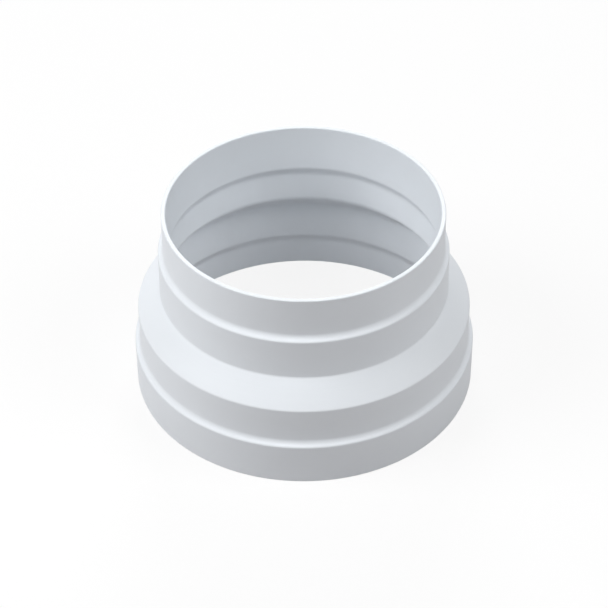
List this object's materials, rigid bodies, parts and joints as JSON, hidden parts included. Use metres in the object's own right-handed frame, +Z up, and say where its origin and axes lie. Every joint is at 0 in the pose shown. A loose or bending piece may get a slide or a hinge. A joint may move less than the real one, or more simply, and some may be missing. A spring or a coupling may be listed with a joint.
{
  "type": "duct reducer",
  "caption": "Round duct reducer moulded in white plastic: a spigot for the smaller duct, a short cone, and a socket that takes the larger duct.",
  "frame": {"origin": "centre of the socket's rim, level with the floor that it stands on", "axes": "+Z up along the axis, from the socket to the spigot; it is round, so X and Y are alike"},
  "size_m": [0.1544, 0.1544, 0.091],
  "materials": {
    "white_plastic": "smooth satin moulded plastic in a cool white"
  },
  "bodies": {
    "root": {"reducer_body": "white_plastic"}
  },
  "joints": []
}
